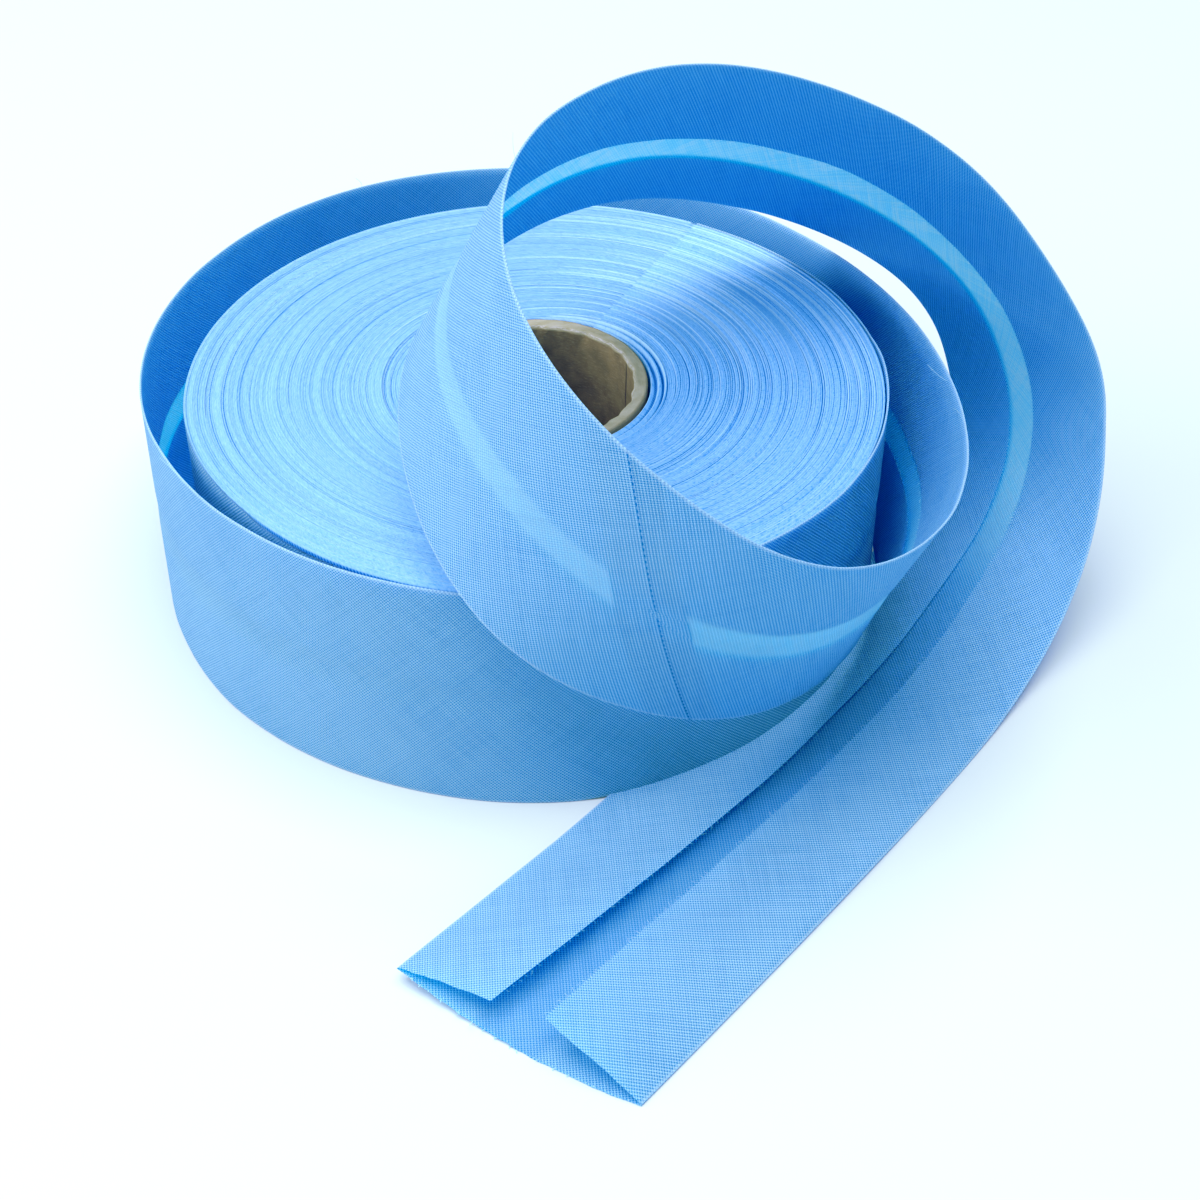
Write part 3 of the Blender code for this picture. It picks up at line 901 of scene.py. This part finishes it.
def turn_tops():
    """The ridged top of the turns, one ring of stations to a row: bearings, distances from the
    axis, points, and how hollow and how coarse the cloth is."""
    k = np.arange(TURN_STATIONS)[:, None]
    j = np.arange(TURN_ROWS * TURNS + 1)[None, :]
    wound = j / TURN_ROWS + k / TURN_STATIONS
    bearing = math.radians(WRAP_STARTS) - math.tau * k / TURN_STATIONS + 0.0 * j
    lean = front_lean(bearing)
    share = wound / (TURNS + 1)
    bore = CORE_OUTER_R + 0.15 * MM
    outer_top = oval(bearing) - 0.15 * MM - 1.5 * MM * lean
    loosened = wander(21, wound, 0.31, -0.08, 0.08) * MM * (share < 0.985)
    right_side = ease(np.cos(bearing), -0.35, 0.85)
    spread = LOOSE_SPREAD * ease(wound, 0.0, LOOSE_TURNS) * (1.0 - share) * right_side
    reach = bore + (outer_top - bore) * share + loosened + spread
    height = ROLL_HEIGHT + band_at(reach, 2) * MM
    height = height + wander(22, wound, 0.42, -0.07, 0.07) * MM
    height = height + wander(23, wound, 1.9, -0.18, 0.18) * MM
    hollow = open_gaps(wound, share, right_side, lean)
    depth = (0.03 + 0.75 * hollow) * MM * (0.6 + band_at(reach, 3))
    height = height - np.where(j % TURN_ROWS > 0, 0.0, depth)
    coarse = 0.25 + 0.75 * ease(np.cos(bearing + 0.6), 0.1, 0.95)
    top = np.stack([reach * np.cos(bearing), reach * np.sin(bearing), height], axis=-1)
    return bearing, reach, top, {"hollow": hollow, "coarse": coarse}


def roll_sides(bearing, reach, top):
    """The outer face, the underside and the bore, as further rows of the same rings."""
    angle = bearing[:, -1:]
    lean = front_lean(angle)
    rim = reach[:, -1:]
    floor_at = 1.0 * MM * over_the_tail(rim * np.cos(angle), rim * np.sin(angle))
    rounded = top[:, -1:, 2] - 0.30 * MM
    wall, under, inside = [], [], []
    for level in np.linspace(0.0, 1.0, 6):
        z = rounded * (1 - level) + floor_at * level
        edge = rim + 0.1 * MM + 2.6 * MM * lean * level
        wall.append(np.stack([edge * np.cos(angle), edge * np.sin(angle), z], axis=-1))
    for level in np.linspace(0.02, 1.0, 16):
        r = edge * (1 - level) + reach[:, :1] * level
        x, y = r * np.cos(angle), r * np.sin(angle)
        under.append(np.stack([x, y, 1.0 * MM * over_the_tail(x, y)], axis=-1))
    for level in (0.33, 0.66):
        inside.append(under[-1] * (1 - level) + top[:, :1] * level)
    return [np.concatenate(side, axis=1) for side in (wall, under, inside)], edge


def turn_marks(reach, edge, sides):
    """Coordinates in mm: along the turn, and the turn's number on the top or the height on the
    sides."""
    around = math.tau * np.arange(TURN_STATIONS + 1)[:, None] / TURN_STATIONS
    reach_on = np.concatenate([reach, np.roll(reach[:1], -TURN_ROWS, axis=1)])
    turn = np.arange(reach.shape[1])[None, :] / TURN_ROWS + 0.0 * around
    parts = [np.stack([around * reach_on / MM, turn], axis=-1)]
    edge_on = np.concatenate([edge, edge[:1]])
    for side, flat in zip(sides, (False, True, False)):
        closed = np.concatenate([side, side[:1]])
        upward = np.hypot(closed[:, :, 0], closed[:, :, 1]) * 2.7 if flat else closed[:, :, 2]
        onward = np.repeat(around * edge_on, side.shape[1], axis=1)
        parts.append(np.stack([onward, upward], axis=-1) / MM)
    return np.concatenate(parts, axis=1)


def wound_turns(edges_finish, cloth_finish):
    """The spiral of wound turns: ridged top, outer face, bore and underside."""
    bearing, reach, top, numbers = turn_tops()
    sides, edge = roll_sides(bearing, reach, top)
    marks = turn_marks(reach, edge, sides)
    points = np.concatenate([top] + sides, axis=1)
    rows, columns = top.shape[1], points.shape[1]
    wall_ends = rows + sides[0].shape[1] - 1

    # The last station joins the first one a turn further out.
    index = np.arange(TURN_STATIONS * columns).reshape(TURN_STATIONS, columns)
    following = np.roll(index, -1, axis=0).copy()
    joined = np.arange(columns)
    joined[:rows] = np.minimum(np.arange(rows) + TURN_ROWS, rows - 1)
    following[-1] = index[0][joined]
    faces, places, which = [], [], []
    for column in range(columns):
        nxt = (column + 1) % columns
        quads = np.stack([index[:, column], following[:, column],
                          following[:, nxt], index[:, nxt]], axis=-1)
        corners = np.stack([marks[:-1, column], marks[1:, column],
                            marks[1:, nxt], marks[:-1, nxt]], axis=1)
        for quad, corner in zip(quads.tolist(), corners.tolist()):
            kept = dict(zip(quad, corner))
            if len(kept) > 2:
                faces.append(tuple(kept))
                places.extend(kept.values())
                which.append(1 if rows <= column < wall_ends else 0)
    mesh = bpy.data.meshes.new("wound_turns")
    mesh.from_pydata((points.reshape(-1, 3) + AXIS).tolist(), [], faces)
    mesh.uv_layers.new(name="cloth").data.foreach_set("uv", np.array(places, np.float32).ravel())
    for name, values in numbers.items():
        beyond = np.full((TURN_STATIONS, columns - rows), 0.3)
        store_numbers(mesh, name, np.concatenate([values, beyond], axis=1))
    made = add_piece("wound_turns", mesh, [edges_finish, cloth_finish])
    mesh.polygons.foreach_set("material_index", which)
    return made


def uneven_ring(seed, angle, waves):
    """A smooth random line that closes round a full turn."""
    dice = np.random.default_rng(seed)
    line = 0.0
    for wave in waves:
        line = line + dice.uniform(0.4, 1.0) * np.sin(wave * angle + dice.uniform(0.0, math.tau))
    return line / len(waves)


def card_core(finish):
    """The card tube, with soft fibrous rims and a torn inner ply."""
    inner = CORE_OUTER_R - CORE_WALL
    angle = np.linspace(-0.5 * math.pi, 1.5 * math.pi, 241)
    points, marks = [], []
    past_edge, before = CORE_WALL / MM + CARD_SECTION[0][1], None
    for n, (wall, below, uneven, torn) in enumerate(CARD_SECTION):
        r = inner + CORE_WALL * wall + 0.3 * uneven * uneven_ring(40 + n, angle, (9, 17, 31)) * MM
        r = r + torn * uneven_ring(70, angle, (5, 13, 23, 37)) * MM
        z = CORE_HEIGHT - below * MM + uneven * uneven_ring(60 + n, angle, (7, 19, 33)) * MM
        z = z.clip(0.0, None)
        points.append(np.stack([r * np.cos(angle), r * np.sin(angle), z], axis=-1))
        nominal = np.array([wall * CORE_WALL / MM, below])
        if before is not None:
            past_edge -= float(np.hypot(*(nominal - before)))
        before = nominal
        marks.append(np.stack([angle * r / MM, np.full(len(angle), past_edge)], axis=-1))
    points.append(points[0])
    marks.append(marks[0])
    return grid_mesh("card_core", np.array(points), np.array(marks), "card", finish)


# ---------------------------------------------------------------- stage

def stage_and_lights():
    size = FLOOR_REACH
    mesh = bpy.data.meshes.new("floor")
    mesh.from_pydata([(-size, -size, 0), (size, -size, 0), (size, size, 0), (-size, size, 0)], [],
                     [(0, 1, 2, 3)])
    add_piece("floor", mesh, [pale_floor()])

    world = bpy.data.worlds.new("soft_room")
    bpy.context.scene.world = world
    world.use_nodes = True
    back = world.node_tree.nodes["Background"]
    back.inputs["Color"].default_value = (*ROOM_COLOUR, 1.0)
    back.inputs["Strength"].default_value = ROOM_STRENGTH

    for name, source, target, size, watts in LAMPS:
        lamp = bpy.data.lights.new(name, "AREA")
        lamp.shape = "SQUARE"
        lamp.size = size
        lamp.energy = watts
        made = bpy.data.objects.new(name, lamp)
        made.location = Vector(source) + Vector(AXIS)
        way = Vector(target) - Vector(source)
        made.rotation_euler = way.to_track_quat("-Z", "Y").to_euler()
        bpy.context.scene.collection.objects.link(made)


def deepen_blues(scene):
    """Develops the picture with CHANNEL_CURVES."""
    scene.view_settings.use_curve_mapping = True
    curves = scene.view_settings.curve_mapping
    for curve, (_, pairs) in zip(curves.curves, CHANNEL_CURVES):
        curve.points[0].location = (0.0, 0.0)
        curve.points[1].location = (1.0, 1.0)
        for before, after in pairs:
            curve.points.new(before, after)
    curves.update()


def camera():
    lens = bpy.data.cameras.new("camera")
    lens.lens = CAMERA_LENS
    lens.sensor_width = 36.0
    lens.clip_start = 0.01
    lens.clip_end = 20.0
    made = bpy.data.objects.new("camera", lens)
    made.location = Vector(AXIS) + Vector(CAMERA_FROM_AXIS)
    made.rotation_euler = (math.radians(90.0 - CAMERA_LOOKS_DOWN), 0.0, 0.0)
    bpy.context.scene.collection.objects.link(made)
    bpy.context.scene.camera = made


def main():
    scene = bpy.context.scene
    scene.view_settings.view_transform = "Standard"
    scene.view_settings.look = "None"
    deepen_blues(scene)
    camera()
    stage_and_lights()

    frames = tape_frames(TAPE_STEP)
    seam_at = float(frames[0][-1]) - SEAM_FROM_CUT
    cotton = blue_cotton(seam_at / MM)

    binding = loose_binding(frames, cotton)
    allowances = seam_allowances(frames, seam_at, cotton)
    threads = loose_threads(frames, thread_cotton())
    roll = wound_turns(blue_turns(), cotton)
    core = card_core(grey_card())

    for piece, slot in ((binding, "binding"), (allowances, "binding"), (threads, "binding"),
                        (roll, "rolled_binding"), (core, "cardboard")):
        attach(piece, "root")
    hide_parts("loose_tail")
    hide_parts("wound_roll")
    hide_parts("core_tube")
    cloth_width(frames[0])


main()
